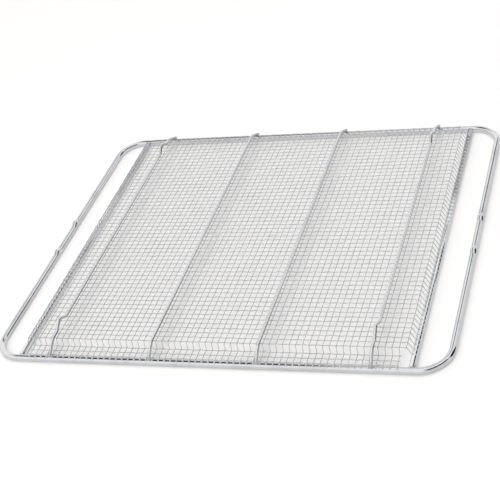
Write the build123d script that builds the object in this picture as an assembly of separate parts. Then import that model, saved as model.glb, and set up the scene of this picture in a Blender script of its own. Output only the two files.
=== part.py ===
from build123d import *
import math
import os

# A welded wire rack: a heavy ring with a hand slot at each end, two side rods, four cross rods
# and a panel of fine wire mesh that stands a little above its margins.
# X runs along the width, Y from front to back, and Z up. The ring rests on Z = 0.

# Frame ring
frame_width = 466.0
frame_depth = 384.0
frame_wire = 6.3
corner_radius = 29.0

# Stop bumps in the two hand bars
bump_spacing = 51.0
bump_length = 14.0
bump_height = 2.2

# Side rods, between the front bar and the back bar
side_rod_wire = 6.0
hand_slot_pitch = 32.0

# Mesh
mesh_wire = 0.9
row_pitch = 6.35
column_pitch = 6.4
panel_rise = 7.0
end_margin = 16.6
side_margin = 5.6
step_run = 1.8
bend_gap = 1.0
margin_rows = 2
wire_overhang = 1.6
leg_overhang = 0.4

# Cross rods
cross_rod_wire = 3.2
outer_rod_inset = 36.0
outer_rod_shift = 1.0
rod_bend_gap = 1.9
rod_overhang = 0.2

# Feet: the humps near both ends of the outer cross rods
foot_inset = 36.0
foot_length = 22.0
foot_height = 6.2

# Centre lines of the ring and the side rods
ring_x = (frame_width - frame_wire) / 2
ring_y = (frame_depth - frame_wire) / 2
ring_z = frame_wire / 2
bar_top = frame_wire
side_rod_x = ring_x - hand_slot_pitch

# The mesh has a wire at the middle and as many more at each side as the margins leave room for
columns = math.floor((side_rod_x - side_margin) / column_pitch)
rows = math.floor((ring_y - end_margin) / row_pitch)
margin_columns = columns - 1
column_edge = columns * column_pitch
row_edge = rows * row_pitch

# Heights of the mesh: cross wires lie on the bars, and long wires lie on the cross wires
margin_cross_z = bar_top + mesh_wire / 2
margin_long_z = margin_cross_z + mesh_wire
panel_cross_z = margin_cross_z + panel_rise
panel_long_z = panel_cross_z + mesh_wire

# Steps from the panel down to the margins
step_top_y = row_edge + bend_gap
step_foot_y = step_top_y + step_run
step_top_x = column_edge + bend_gap

# Height of the cross rods, which lie on the long wires
rod_z = panel_long_z + (mesh_wire + cross_rod_wire) / 2


def mid_cell(x):
    """The middle of the mesh cell that x falls in, where a rod passes between the cross wires."""
    return (math.floor(x / column_pitch) + 0.5) * column_pitch


def mirrored(half):
    """A route from its far end to its near end and on, from its half on the positive side."""
    return [(-across, z) for across, z in reversed(half)] + half


def leaning_end(bend, centre, spacing, overhang):
    """The end of a straight leg from a bend that leans over a bar, just past where it touches.

    bend and centre are (distance across, height), and spacing is between the two centre lines."""
    across = centre[0] - bend[0]
    rise = centre[1] - bend[1]
    reach = math.hypot(across, rise)
    angle = math.atan2(rise, across) + math.asin(spacing / reach)
    length = math.sqrt(reach**2 - spacing**2) + overhang
    return (bend[0] + length * math.cos(angle), bend[1] + length * math.sin(angle))


def bar_along(points, section):
    """A bar of the given section along straight lines, with mitred bends."""
    path = Polyline(*points)
    forward = path % 0
    start = Plane(origin=path @ 0, x_dir=Vector(0, 0, 1).cross(forward), z_dir=forward)
    return sweep(start * section, path=path, transition=Transition.RIGHT)


def mesh_section():
    """A mesh wire has three sides, flat below and as high as the wire is thick, to keep its faces few."""
    half_base = mesh_wire / math.sqrt(3)
    return Polygon((-half_base, -mesh_wire / 2), (half_base, -mesh_wire / 2), (0, mesh_wire / 2), align=None)


def frame_ring():
    """The ring: two long bars, two hand bars with stop bumps, and four round corners."""
    wire = Circle(frame_wire / 2)
    corner_x = ring_x - corner_radius
    corner_y = ring_y - corner_radius
    half = [
        ((bump_spacing - bump_length) / 2, ring_z),
        (bump_spacing / 2, ring_z + bump_height),
        ((bump_spacing + bump_length) / 2, ring_z),
        (corner_y, ring_z),
    ]
    lengths = []
    for side in (-1, 1):
        y = side * ring_y
        lengths.append(bar_along([(-corner_x, y, ring_z), (corner_x, y, ring_z)], wire))
        lengths.append(bar_along([(side * ring_x, y, z) for y, z in mirrored(half)], wire))
    for x, y, angle in (
        (corner_x, corner_y, 0),
        (-corner_x, corner_y, 90),
        (-corner_x, -corner_y, 180),
        (corner_x, -corner_y, 270),
    ):
        section = Plane.XZ * Pos(corner_radius, 0) * wire
        lengths.append(Pos(x, y, ring_z) * Rot(0, 0, angle) * revolve(section, Axis.Z, 90))
    return Part() + lengths


def side_rod(side):
    """A straight rod that is cut square and butts against the front and back bars."""
    x = side * side_rod_x
    end_y = ring_y - frame_wire / 2
    return bar_along([(x, -end_y, ring_z), (x, end_y, ring_z)], Circle(side_rod_wire / 2))


def cross_rod(x, has_feet):
    """A rod on the mesh whose ends bend down and lean over the front and back bars."""
    bend = (row_edge + rod_bend_gap, rod_z)
    spacing = (frame_wire + cross_rod_wire) / 2
    half = [bend, leaning_end(bend, (ring_y, ring_z), spacing, rod_overhang)]
    if has_feet:
        foot_y = ring_y - foot_inset
        half = [
            (foot_y - foot_length / 2, rod_z),
            (foot_y, rod_z + foot_height),
            (foot_y + foot_length / 2, rod_z),
        ] + half
    return bar_along([(x, y, z) for y, z in mirrored(half)], Circle(cross_rod_wire / 2))


def mesh_cross_wires():
    """Wires from front to back: all but the outermost step down at both ends to lie on the bars."""
    section = mesh_section()
    half = [
        (step_top_y, panel_cross_z),
        (step_foot_y, margin_cross_z),
        (ring_y + wire_overhang, margin_cross_z),
    ]
    formed = bar_along([(0, y, z) for y, z in mirrored(half)], section)
    edge_end = row_edge + mesh_wire
    edge = bar_along([(0, -edge_end, panel_cross_z), (0, edge_end, panel_cross_z)], section)
    wires = []
    for column in range(-margin_columns, margin_columns + 1):
        wires.append(Pos(column * column_pitch, 0, 0) * formed)
    for column in (-columns, columns):
        wires.append(Pos(column * column_pitch, 0, 0) * edge)
    return Compound(children=wires)


def mesh_long_wires():
    """Wires from side to side: those of the panel bend down at both ends to lean over the side rods."""
    section = mesh_section()
    bend = (step_top_x, panel_long_z)
    spacing = (side_rod_wire + mesh_wire) / 2
    half = [bend, leaning_end(bend, (side_rod_x, ring_z), spacing, leg_overhang)]
    formed = bar_along([(x, 0, z) for x, z in mirrored(half)], section)
    margin_end = margin_columns * column_pitch + wire_overhang
    straight = bar_along([(-margin_end, 0, margin_long_z), (margin_end, 0, margin_long_z)], section)
    wires = []
    for row in range(-rows, rows + 1):
        wires.append(Pos(0, row * row_pitch, 0) * formed)
    for row in range(margin_rows):
        y = step_foot_y + mesh_wire + row * row_pitch
        wires.append(Pos(0, y, 0) * straight)
        wires.append(Pos(0, -y, 0) * straight)
    return Compound(children=wires)


outer_rod_x = mid_cell(side_rod_x - outer_rod_inset) - outer_rod_shift
inner_rod_x = mid_cell((side_rod_x - outer_rod_inset) / 3)

parts = {
    "frame_ring": frame_ring(),
    "left_side_rod": side_rod(-1),
    "right_side_rod": side_rod(1),
    "outer_rod_left": cross_rod(-outer_rod_x, True),
    "inner_rod_left": cross_rod(-inner_rod_x, False),
    "inner_rod_right": cross_rod(inner_rod_x, False),
    "outer_rod_right": cross_rod(outer_rod_x, True),
    "mesh_cross_wires": mesh_cross_wires(),
    "mesh_long_wires": mesh_long_wires(),
}

os.makedirs("parts", exist_ok=True)
for name, shape in parts.items():
    export_step(shape, f"parts/{name}.step")
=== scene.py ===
import math

import bmesh
import bpy
from mathutils import Matrix, Vector


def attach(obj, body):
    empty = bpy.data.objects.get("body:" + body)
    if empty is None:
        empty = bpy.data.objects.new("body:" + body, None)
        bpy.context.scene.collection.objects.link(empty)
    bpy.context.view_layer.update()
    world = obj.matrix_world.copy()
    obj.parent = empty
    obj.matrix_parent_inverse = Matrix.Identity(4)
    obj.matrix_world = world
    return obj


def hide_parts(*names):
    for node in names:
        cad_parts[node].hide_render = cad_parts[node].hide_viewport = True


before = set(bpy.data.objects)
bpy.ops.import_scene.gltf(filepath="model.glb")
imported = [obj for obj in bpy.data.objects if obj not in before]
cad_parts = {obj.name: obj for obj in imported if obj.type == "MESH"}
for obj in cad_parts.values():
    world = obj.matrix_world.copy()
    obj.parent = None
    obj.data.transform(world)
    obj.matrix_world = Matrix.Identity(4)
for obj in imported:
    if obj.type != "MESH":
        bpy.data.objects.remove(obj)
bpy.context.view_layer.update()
scene = bpy.context.scene
mm = 0.001


def toMetres(point):
    return Vector(point) * mm


# shared sizes of the rack, in mm, as the solids have them, apart from a finer mesh wire
rack = {
    "ringX": 229.85,        # centre line of the hand bars
    "ringY": 188.85,        # centre line of the front and back bars
    "ringZ": 3.15,
    "ringWire": 6.3,
    "sideRodX": 197.85,
    "sideRodWire": 6.0,
    "rodWire": 3.2,
    "rodZ": 16.7,
    "rowPitch": 6.35,
    "columnPitch": 6.4,
    "meshWire": 0.78,
    "columns": 30,          # mesh wires each side of the middle one
    "rows": 27,
}


# one socket of a shader tree, with operators that add Math nodes
class Wire:
    def __init__(self, tree, socket):
        self.tree = tree
        self.socket = socket

    def node(self, kind, settings=None, values=None, out=0):
        made = self.tree.nodes.new(kind)
        for key, value in (settings or {}).items():
            setattr(made, key, value)
        for key, value in (values or {}).items():
            if isinstance(value, Wire):
                self.tree.links.new(value.socket, made.inputs[key])
            else:
                made.inputs[key].default_value = value
        return Wire(self.tree, made.outputs[out])

    def maths(self, operation, first, second):
        return self.node("ShaderNodeMath", {"operation": operation}, {0: first, 1: second})

    def __add__(self, other):
        return self.maths("ADD", self, other)

    def __radd__(self, other):
        return self.maths("ADD", other, self)

    def __sub__(self, other):
        return self.maths("SUBTRACT", self, other)

    def __rsub__(self, other):
        return self.maths("SUBTRACT", other, self)

    def __mul__(self, other):
        return self.maths("MULTIPLY", self, other)

    # goes from the first end to the second as this socket goes from low to high
    def between(self, low, high, smooth=False, ends=(0.0, 1.0)):
        return self.node(
            "ShaderNodeMapRange",
            {"interpolation_type": "SMOOTHSTEP" if smooth else "LINEAR"},
            {"Value": self, "From Min": low, "From Max": high, "To Min": ends[0], "To Max": ends[1]},
        )

    # a colour that goes from the first to the second as this socket goes from 0 to 1
    def mix(self, first, second):
        return self.node("ShaderNodeMix", {"data_type": "RGBA"}, {"Factor": self, "A": first, "B": second}, out="Result")


# bright plated wire with small dull patches and fine pitting; the cross rods also get painted shade on their lower
# side
plating = {
    "frame": {
        "colour": (0.80, 0.81, 0.83), "dull": (0.62, 0.63, 0.66),
        "roughness": 0.04, "spread": 0.06, "bump": 0.04,
    },
    "sideRods": {
        "colour": (0.88, 0.89, 0.91), "dull": (0.76, 0.77, 0.80),
        "roughness": 0.07, "spread": 0.08, "bump": 0.05,
    },
    "crossRods": {
        "colour": (0.88, 0.89, 0.91), "dull": (0.76, 0.77, 0.80),
        "roughness": 0.05, "spread": 0.06, "bump": 0.05, "paintedShade": 0.42,
    },
    "mesh": {
        "colour": (0.70, 0.70, 0.71), "dull": (0.56, 0.56, 0.58),
        "roughness": 0.20, "spread": 0.12, "bump": 0.04,
    },
    "pads": {
        "colour": (0.90, 0.90, 0.91), "dull": (0.82, 0.82, 0.83),
        "roughness": 0.45, "spread": 0.12, "bump": 0.04,
    },
    "weld": {
        "colour": (0.70, 0.70, 0.72), "dull": (0.52, 0.51, 0.52),
        "roughness": 0.34, "spread": 0.16, "bump": 0.20,
    },
}

# what all the plating shares
surface = {
    "cloud": {"Scale": 45.0, "Detail": 4.0, "Roughness": 0.6},
    "grain": {"Scale": 900.0, "Detail": 3.0, "Roughness": 0.7},
    "patches": (0.50, 0.78),        # cloud levels where a dull patch starts and where it is full
    "cloudShare": 0.6,              # of the spread in roughness
    "grainShare": 0.4,
    "pitScale": 600.0,
    "pitWidth": 0.18,
    "pitShare": 0.5,                # of the bump, and the grain has the same
    "bumpDepth": 0.0002,
    "paintedShadeSpan": (0.25, 0.75),      # upward parts of the normal where the painted shade on the lower side is full and where it ends
    # colour of the painted shade on the lower side of the cross rods
    "paintedShadeTone": (0.10, 0.10, 0.11),
}


def platedSteel(name, look):
    material = bpy.data.materials.new(name)
    material.use_nodes = True
    tree = material.node_tree
    place = Wire(tree, tree.nodes.new("ShaderNodeTexCoord").outputs["Object"])
    cloud = place.node("ShaderNodeTexNoise", None, {"Vector": place, **surface["cloud"]})
    grain = place.node("ShaderNodeTexNoise", None, {"Vector": place, **surface["grain"]})
    pits = place.node("ShaderNodeTexVoronoi", {"feature": "F1"}, {"Vector": place, "Scale": surface["pitScale"]},
                      out="Distance")
    tone = cloud.between(*surface["patches"]).mix((*look["colour"], 1.0), (*look["dull"], 1.0))
    if "paintedShade" in look:
        # painted shade: a darker lower side, which stands in for a dark reflection and shows as a thin line along
        # the rod
        normal = place.node("ShaderNodeNewGeometry", out="Normal")
        rise = place.node("ShaderNodeSeparateXYZ", None, {0: normal}, out="Z")
        paintedShadeAmount = rise.between(*surface["paintedShadeSpan"], smooth=True, ends=(look["paintedShade"], 0.0))
        tone = paintedShadeAmount.mix(tone, (*surface["paintedShadeTone"], 1.0))
    rough = look["roughness"] + cloud * look["spread"] * surface["cloudShare"]
    rough = rough + grain * look["spread"] * surface["grainShare"]
    height = pits.between(0.0, surface["pitWidth"]) * surface["pitShare"] + grain * surface["pitShare"]
    bump = place.node("ShaderNodeBump", None,
                      {"Strength": look["bump"], "Distance": surface["bumpDepth"], "Height": height})
    shader = tree.nodes["Principled BSDF"]
    tree.links.new(tone.socket, shader.inputs["Base Color"])
    tree.links.new(rough.socket, shader.inputs["Roughness"])
    tree.links.new(bump.socket, shader.inputs["Normal"])
    shader.inputs["Metallic"].default_value = 1.0
    return material


frameFinish = platedSteel("plated_frame_wire", plating["frame"])
sideRodFinish = platedSteel("plated_side_rods", plating["sideRods"])
# the cross rods' material carries painted shade on their lower side
crossRodPlatingAndPaintedShade = platedSteel("plated_cross_rods", plating["crossRods"])
meshFinish = platedSteel("plated_mesh_wire", plating["mesh"])
padFinish = platedSteel("plated_wire_ends", plating["pads"])
weldFinish = platedSteel("weld_metal", plating["weld"])
print("materials made")

mergeDistance = 0.00002
bendStep = 6                # degrees of a bend for each ring of faces


def addPiece(name, bm, material, replaced):
    bmesh.ops.remove_doubles(bm, verts=bm.verts, dist=mergeDistance)
    bmesh.ops.recalc_face_normals(bm, faces=bm.faces)
    mesh = bpy.data.meshes.new(name)
    bm.to_mesh(mesh)
    bm.free()
    for face in mesh.polygons:
        face.use_smooth = True
    mesh.materials.append(material)
    piece = bpy.data.objects.new(name, mesh)
    scene.collection.objects.link(piece)
    if replaced:
        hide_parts(*replaced)
    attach(piece, "root")
    print(name, len(mesh.polygons), "faces")


# the edges of a circle, which a round wire grows from
def startRing(bm, start, turn, diameter, sides):
    place = Matrix.Translation(start) @ turn
    made = bmesh.ops.create_circle(bm, cap_ends=False, segments=sides, radius=diameter * mm / 2, matrix=place)
    return list(dict.fromkeys(edge for vert in made["verts"] for edge in vert.link_edges))


def extrudeRing(bm, ring, shift):
    grown = bmesh.ops.extrude_edge_only(bm, edges=ring)["geom"]
    verts = [item for item in grown if isinstance(item, bmesh.types.BMVert)]
    bmesh.ops.translate(bm, verts=verts, vec=shift)
    edges = [item for item in grown if isinstance(item, bmesh.types.BMEdge)]
    return [edge for edge in edges if all(vert in grown for vert in edge.verts)]


def spinRing(bm, ring, centre, axis, angle, steps):
    spun = bmesh.ops.spin(bm, geom=ring, cent=centre, axis=axis, angle=angle, steps=steps)
    return [item for item in spun["geom_last"] if isinstance(item, bmesh.types.BMEdge)]


# a round wire along straight runs with round bends: a circle that is extruded and spun on its way
def bentWire(bm, points, diameter, sides, bendRadius=0.0):
    points = [toMetres(point) for point in points]
    radius = bendRadius * mm
    here = points[0]
    forward = (points[1] - here).normalized()
    turn = Vector((0, 0, 1)).rotation_difference(forward).to_matrix().to_4x4()
    ring = startRing(bm, here, turn, diameter, sides)
    bmesh.ops.contextual_create(bm, geom=ring)
    for last, corner, following in zip(points, points[1:], points[2:]):
        before = (corner - last).normalized()
        after = (following - corner).normalized()
        angle = before.angle(after)
        reach = radius * math.tan(angle / 2)
        bendStart = corner - before * reach
        ring = extrudeRing(bm, ring, bendStart - here)
        axis = before.cross(after).normalized()
        centre = bendStart + axis.cross(before) * radius
        steps = max(2, round(math.degrees(angle) / bendStep))
        ring = spinRing(bm, ring, centre, axis, angle, steps)
        here = corner + after * reach
    ring = extrudeRing(bm, ring, points[-1] - here)
    bmesh.ops.contextual_create(bm, geom=ring)


# heavy outer ring
ringForm = {
    "cornerRadius": 29.0,
    "sides": 32,
    "cornerSteps": 18,
    "bumpAt": 25.5,         # along the hand bar from its middle
    "bumpRise": 2.1,
    "bumpHalf": 5.0,
    "barSteps": 200,        # along a hand bar, to shape the bumps
}


def makeFrameRing():
    bm = bmesh.new()
    quarter = math.radians(90)
    cornerX = rack["ringX"] - ringForm["cornerRadius"]
    cornerY = rack["ringY"] - ringForm["cornerRadius"]
    start = toMetres((0, -rack["ringY"], rack["ringZ"]))
    ring = startRing(bm, start, Matrix.Rotation(quarter, 4, "Y"), rack["ringWire"], ringForm["sides"])
    runs = (
        ((cornerX, 0, 0), (cornerX, -cornerY)),
        ((0, 2 * cornerY, 0), (cornerX, cornerY)),
        ((-2 * cornerX, 0, 0), (-cornerX, cornerY)),
        ((0, -2 * cornerY, 0), (-cornerX, -cornerY)),
    )
    for shift, (x, y) in runs:
        steps = ringForm["barSteps"] if shift[1] else 1
        for step in range(steps):
            ring = extrudeRing(bm, ring, toMetres(shift) / steps)
        centre = toMetres((x, y, rack["ringZ"]))
        ring = spinRing(bm, ring, centre, (0, 0, 1), quarter, ringForm["cornerSteps"])
    extrudeRing(bm, ring, toMetres((cornerX, 0, 0)))
    # the stop bumps: the hand bars rise smoothly at two places each
    for vert in bm.verts:
        if abs(vert.co.x) > (rack["ringX"] - rack["ringWire"]) * mm:
            away = abs(abs(vert.co.y) / mm - ringForm["bumpAt"]) / ringForm["bumpHalf"]
            if away < 1.0:
                vert.co.z += ringForm["bumpRise"] * mm * (0.5 + 0.5 * math.cos(math.pi * away))
    addPiece("outer_ring", bm, frameFinish, ["frame_ring"])


makeFrameRing()


# straight rods under the sides of the mesh
sideRods = {
    "overlap": 0.2,         # of each end into the bar that it butts against
    "sides": 28,
    "places": (
        ("side_rod_left", -1, "left_side_rod"),
        ("side_rod_right", 1, "right_side_rod"),
    ),
}


def makeSideRods():
    end = rack["ringY"] - rack["ringWire"] / 2 + sideRods["overlap"]
    for name, side, node in sideRods["places"]:
        bm = bmesh.new()
        route = [(side * rack["sideRodX"], y, rack["ringZ"]) for y in (-end, end)]
        bentWire(bm, route, rack["sideRodWire"], sideRods["sides"])
        addPiece(name, bm, sideRodFinish, [node])


makeSideRods()


# thin rods over the mesh, with humps on the outer two
crossRods = {
    "bendY": 173.35,
    "endY": 191.25,
    "endZ": 7.25,
    "footAt": 152.85,
    "footHalf": 11.0,
    "footRise": 6.9,
    "bendRadius": 4.0,
    "sides": 20,
    "places": (
        ("cross_rod_far_left", -162.2, True, "outer_rod_left"),
        ("cross_rod_left", -54.4, False, "inner_rod_left"),
        ("cross_rod_right", 54.4, False, "inner_rod_right"),
        ("cross_rod_far_right", 162.2, True, "outer_rod_right"),
    ),
}


def makeCrossRods():
    form = crossRods
    level = rack["rodZ"]
    for name, x, hasFeet, node in form["places"]:
        half = [(form["bendY"], level), (form["endY"], form["endZ"])]
        if hasFeet:
            half = [
                (form["footAt"] - form["footHalf"], level),
                (form["footAt"], level + form["footRise"]),
                (form["footAt"] + form["footHalf"], level),
            ] + half
        route = [(x, -y, z) for y, z in reversed(half)] + [(x, y, z) for y, z in half]
        bm = bmesh.new()
        bentWire(bm, route, rack["rodWire"], form["sides"], form["bendRadius"])
        addPiece(name, bm, crossRodPlatingAndPaintedShade, [node])


makeCrossRods()


# woven mesh: each wire weaves over and under the wires it crosses
weave = {
    "crimp": 0.22,          # half the height of a wave: the welded crossings are pressed together
    "middleZ": 14.2,        # middle of the raised panel
    "edgeOverhang": 1.2,    # of the outermost cross wires, which stay in the panel
    "panelEdgeY": 172.3,    # where the panel's step starts and ends
    "stepFootY": 174.3,
    "stepTopBend": (0.5, 0.5),
    "stepFootBend": (0.3, 0.5),
    "marginZ": 7.2,         # middle of the margins
    "marginRows": (175.2, 181.55, 187.6),
    "marginDrop": 0.2,      # of the cross wires below the middle of a margin
    "marginCrimp": 0.1,
    "marginOverhang": 1.6,
    "panelEdgeX": 192.2,    # where the wires bend down to the side rods
    "sideBend": ((0.0, 0.2), (0.3, 0.7)),
    "sideEnds": (124, 115, 107),        # degrees round a bar or rod from its outer side
    "frontEnds": (98, 86, 74, 64),
    "backEnds": (112, 102, 92),
    "perCell": 4,
    "bevel": 1,             # bevel resolution: six sides
}


def wireMesh(name, routes, node):
    curve = bpy.data.curves.new(name, "CURVE")
    curve.dimensions = "3D"
    curve.bevel_depth = rack["meshWire"] * mm / 2
    curve.bevel_resolution = weave["bevel"]
    curve.use_fill_caps = True
    for route in routes:
        spline = curve.splines.new("POLY")
        spline.points.add(len(route) - 1)
        for point, place in zip(spline.points, route):
            point.co = (*toMetres(place), 1.0)
    holder = bpy.data.objects.new(name + "_line", curve)
    scene.collection.objects.link(holder)
    bpy.context.view_layer.update()
    shaped = holder.evaluated_get(bpy.context.evaluated_depsgraph_get())
    bm = bmesh.new()
    bm.from_mesh(bpy.data.meshes.new_from_object(shaped))
    bpy.data.objects.remove(holder)
    addPiece(name, bm, meshFinish, [node])


# half of a wire in the panel, as distances from the middle and heights
def wovenHalf(cells, pitch, sign):
    half = []
    for step in range(cells * weave["perCell"] + 1):
        along = step * pitch / weave["perCell"]
        half.append((along, weave["middleZ"] + sign * weave["crimp"] * math.cos(math.pi * along / pitch)))
    return half


# the last points of a wire, which lie round the top of a bar or rod
def roundBar(across, barWire, degrees):
    reach = (barWire + rack["meshWire"]) / 2
    turns = [math.radians(angle) for angle in degrees]
    return [(across + reach * math.cos(turn), rack["ringZ"] + reach * math.sin(turn)) for turn in turns]


def crossWireRoute(column):
    sign = 1 if column % 2 else -1
    half = wovenHalf(rack["rows"], rack["rowPitch"], sign)
    frontEnd = backEnd = []
    if abs(column) == rack["columns"]:
        half.append((half[-1][0] + weave["edgeOverhang"], half[-1][1]))
    else:
        # down the step, along the margin and over the bar
        topOut, topDrop = weave["stepTopBend"]
        footIn, footRise = weave["stepFootBend"]
        half += [
            (weave["panelEdgeY"], weave["middleZ"]),
            (weave["panelEdgeY"] + topOut, weave["middleZ"] - topDrop),
            (weave["stepFootY"] - footIn, weave["marginZ"] + footRise),
        ]
        level = weave["marginZ"] - weave["marginDrop"]
        side = sign if rack["rows"] % 2 else -sign
        for near, far in zip(weave["marginRows"], weave["marginRows"][1:]):
            for step in range(weave["perCell"]):
                share = step / weave["perCell"]
                wave = side * weave["marginCrimp"] * math.cos(math.pi * share)
                half.append((near + share * (far - near), level + wave))
            side = -side
        frontEnd = roundBar(rack["ringY"], rack["ringWire"], weave["frontEnds"])
        backEnd = roundBar(rack["ringY"], rack["ringWire"], weave["backEnds"])
    x = column * rack["columnPitch"]
    front = [(x, -y, z) for y, z in reversed(half[1:] + frontEnd)]
    return front + [(x, y, z) for y, z in half + backEnd]


def longWireRoute(row):
    half = wovenHalf(rack["columns"], rack["columnPitch"], -1 if row % 2 else 1)
    half += [(weave["panelEdgeX"] + out, weave["middleZ"] - drop) for out, drop in weave["sideBend"]]
    half += roundBar(rack["sideRodX"], rack["sideRodWire"], weave["sideEnds"])
    y = row * rack["rowPitch"]
    return [(-x, y, z) for x, z in reversed(half[1:])] + [(x, y, z) for x, z in half]


def marginWireRoute(y, sign):
    pitch = rack["columnPitch"]
    last = (rack["columns"] - 1) * weave["perCell"]
    end = last * pitch / weave["perCell"] + weave["marginOverhang"]
    route = [(-end, y, weave["marginZ"])]
    for step in range(-last, last + 1):
        x = step * pitch / weave["perCell"]
        route.append((x, y, weave["marginZ"] + sign * weave["crimp"] * math.cos(math.pi * x / pitch)))
    return route + [(end, y, weave["marginZ"])]


def makeMesh():
    columns = range(-rack["columns"], rack["columns"] + 1)
    rows = range(-rack["rows"], rack["rows"] + 1)
    wireMesh("woven_cross_wires", [crossWireRoute(column) for column in columns], "mesh_cross_wires")
    routes = [longWireRoute(row) for row in rows]
    for index, y in enumerate(weave["marginRows"]):
        sign = 1 if index % 2 else -1
        routes += [marginWireRoute(y, sign), marginWireRoute(-y, sign)]
    wireMesh("woven_long_wires", routes, "mesh_long_wires")


makeMesh()


# small welds: where the thin rods lie on the bars, and where the side rods butt against them
welds = {
    "rodEnd": (2.0, 1.1, 0.7),
    "rodEndAt": (189.8, 6.7),
    "butt": (3.15, 0.9, 2.95),
    "buttAt": (185.6, 3.15),
    "detail": 3,
}


def makeWelds():
    bm = bmesh.new()
    places = [(x, welds["rodEndAt"], welds["rodEnd"]) for _, x, _, _ in crossRods["places"]]
    places += [(side * rack["sideRodX"], welds["buttAt"], welds["butt"]) for side in (-1, 1)]
    for x, (y, z), size in places:
        for end in (-1, 1):
            form = Matrix.Translation(toMetres((x, end * y, z))) @ Matrix.Diagonal((*toMetres(size), 1.0))
            bmesh.ops.create_icosphere(bm, subdivisions=welds["detail"], radius=1.0, matrix=form)
    addPiece("weld_spots", bm, weldFinish, [])


makeWelds()


# the pressed ends of the mesh wires: a small pad where each one is welded to its bar or rod
pads = {
    "front": {"size": (0.85, 2.1, 0.8), "at": (-189.6, 6.35)},
    "back": {"size": (0.75, 1.3, 0.5), "at": (187.9, 6.15)},
    "left": {"size": (1.0, 0.5, 0.4), "at": (-196.65, 5.95), "lean": 0.0},
    "right": {"size": (1.9, 0.75, 0.5), "at": (199.1, 5.85), "lean": 24.0},     # over the rod's outer side
    "segments": 8,
    "rings": 5,
}


def makePads():
    bm = bmesh.new()
    columns = range(1 - rack["columns"], rack["columns"])
    rows = range(-rack["rows"], rack["rows"] + 1)
    places = []
    for bar in (pads["front"], pads["back"]):
        places += [((column * rack["columnPitch"], *bar["at"]), bar["size"], 0.0) for column in columns]
    for rod in (pads["left"], pads["right"]):
        x, z = rod["at"]
        places += [((x, row * rack["rowPitch"], z), rod["size"], rod["lean"]) for row in rows]
    for place, size, lean in places:
        turn = Matrix.Rotation(math.radians(lean), 4, "Y")
        form = Matrix.Translation(toMetres(place)) @ turn @ Matrix.Diagonal((*toMetres(size), 1.0))
        bmesh.ops.create_uvsphere(bm, u_segments=pads["segments"], v_segments=pads["rings"], radius=1.0, matrix=form)
    addPiece("wire_end_pads", bm, padFinish, [])


makePads()


# pale floor
floorForm = {
    "half": 6.0,            # metres
    "colour": (0.93, 0.92, 0.905),
    "roughness": 0.9,
}


def makeFloor():
    bm = bmesh.new()
    bmesh.ops.create_grid(bm, x_segments=1, y_segments=1, size=floorForm["half"])
    mesh = bpy.data.meshes.new("floor")
    bm.to_mesh(mesh)
    bm.free()
    floor = bpy.data.objects.new("floor", mesh)
    scene.collection.objects.link(floor)
    material = bpy.data.materials.new("white_floor")
    material.use_nodes = True
    shader = material.node_tree.nodes["Principled BSDF"]
    shader.inputs["Base Color"].default_value = (*floorForm["colour"], 1.0)
    shader.inputs["Roughness"].default_value = floorForm["roughness"]
    mesh.materials.append(material)
    floor.visible_glossy = False


makeFloor()


# soft studio: a pale tent, greyer on the right, with four dark gaps that show as thin lines in the wire
studio = {
    "tent": 0.95,
    "right": 0.74,
    "rightFrom": (0.1, 0.4),        # the grey side starts here to the east
    "rightBelow": (0.40, 0.56),     # and ends at this height
    "ground": 0.74,
    "horizon": (-0.05, 0.08),
    "dark": 0.02,
    "gaps": (
        # towards the back, seen in the right bar
        {"across": (0.667, -0.496, 0.556), "middle": 0.0, "half": (0.05, 0.13),
         "towards": (0.0, 0.76, 0.65), "length": (0.92, 0.97)},
        # high on the left, seen along the top of the front bar
        {"across": (1.0, 0.0, 0.0), "middle": -0.43, "half": (0.10, 0.20),
         "towards": (-0.43, 0.20, 0.88), "length": (0.895, 0.94)},
        # beside the camera, seen in the corners and the bends
        {"across": (-0.635, 0.274, 0.722), "middle": 0.0, "half": (0.20, 0.34),
         "towards": (0.69, -0.38, 0.62), "length": (0.80, 0.88)},
        # low on the right, seen in the left bar
        {"across": (0.62, -0.783, 0.0), "middle": 0.16, "half": (0.23, 0.29),
         "towards": (0.80, 0.55, 0.22), "length": (0.85, 0.91)},
    ),
    "lamps": (
        # name, place and size in metres, watts
        ("overhead", (0.0, 0.0, 2.2), 3.0, 30.0),
        ("front", (-0.6, -1.6, 1.6), 2.0, 5.0),
    ),
}


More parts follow.
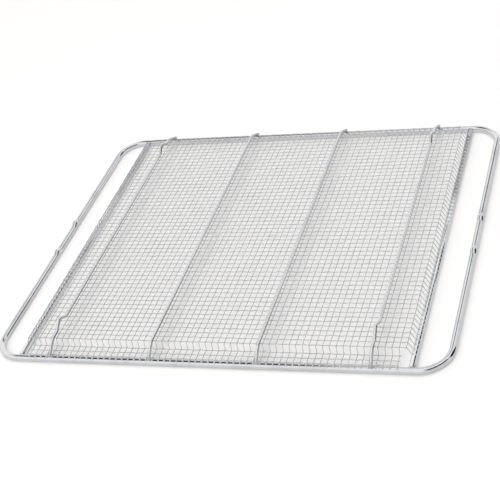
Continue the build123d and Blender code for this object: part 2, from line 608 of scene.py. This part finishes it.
def makeStudio():
    world = bpy.data.worlds.new("studio")
    scene.world = world
    world.use_nodes = True
    tree = world.node_tree
    coords = tree.nodes.new("ShaderNodeTexCoord")
    split = tree.nodes.new("ShaderNodeSeparateXYZ")
    tree.links.new(coords.outputs["Generated"], split.inputs[0])
    east, north, height = (Wire(tree, split.outputs[axis]) for axis in "XYZ")

    def along(direction):
        return east * direction[0] + north * direction[1] + height * direction[2]

    def step(value, low, high):
        return value.between(low, high, smooth=True)

    grey = step(east, *studio["rightFrom"]) * (1.0 - step(height, *studio["rightBelow"]))
    sky = studio["tent"] - grey * (studio["tent"] - studio["right"])
    light = studio["ground"] + step(height, *studio["horizon"]) * (sky - studio["ground"])
    for gap in studio["gaps"]:
        across = along(gap["across"]) - gap["middle"]
        away = across.node("ShaderNodeMath", {"operation": "ABSOLUTE"}, {0: across})
        shade = (1.0 - step(away, *gap["half"])) * step(along(gap["towards"]), *gap["length"])
        light = light * (1.0 - shade * (1.0 - studio["dark"]))
    background = tree.nodes["Background"]
    tree.links.new(light.socket, background.inputs["Color"])
    for name, place, size, power in studio["lamps"]:
        data = bpy.data.lights.new(name, "AREA")
        data.shape = "SQUARE"
        data.size = size
        data.energy = power
        lamp = bpy.data.objects.new(name, data)
        lamp.location = place
        lamp.rotation_euler = (-Vector(place)).to_track_quat("-Z", "Y").to_euler()
        lamp.visible_glossy = False
        scene.collection.objects.link(lamp)


makeStudio()


# the photograph's view: from the front and right, tilted, with the rack filling the frame
viewpoint = {
    "place": (424.8, -872.6, 698.3),
    "right": (0.93202, 0.27745, -0.23316),
    "up": (0.00469, 0.63407, 0.77326),
    "back": (0.36238, -0.72179, 0.58966),
    "lens": 81.66,
    "sensor": 36.0,
    "clip": (0.01, 50.0),   # metres
}


def makeCamera():
    data = bpy.data.cameras.new("camera")
    data.sensor_width = viewpoint["sensor"]
    data.lens = viewpoint["lens"]
    data.clip_start, data.clip_end = viewpoint["clip"]
    camera = bpy.data.objects.new("camera", data)
    axes = Matrix((viewpoint["right"], viewpoint["up"], viewpoint["back"])).transposed()
    camera.matrix_world = Matrix.Translation(toMetres(viewpoint["place"])) @ axes.to_4x4()
    scene.collection.objects.link(camera)
    scene.camera = camera


makeCamera()
scene.view_settings.view_transform = "Standard"
print("stage, lights and camera set")
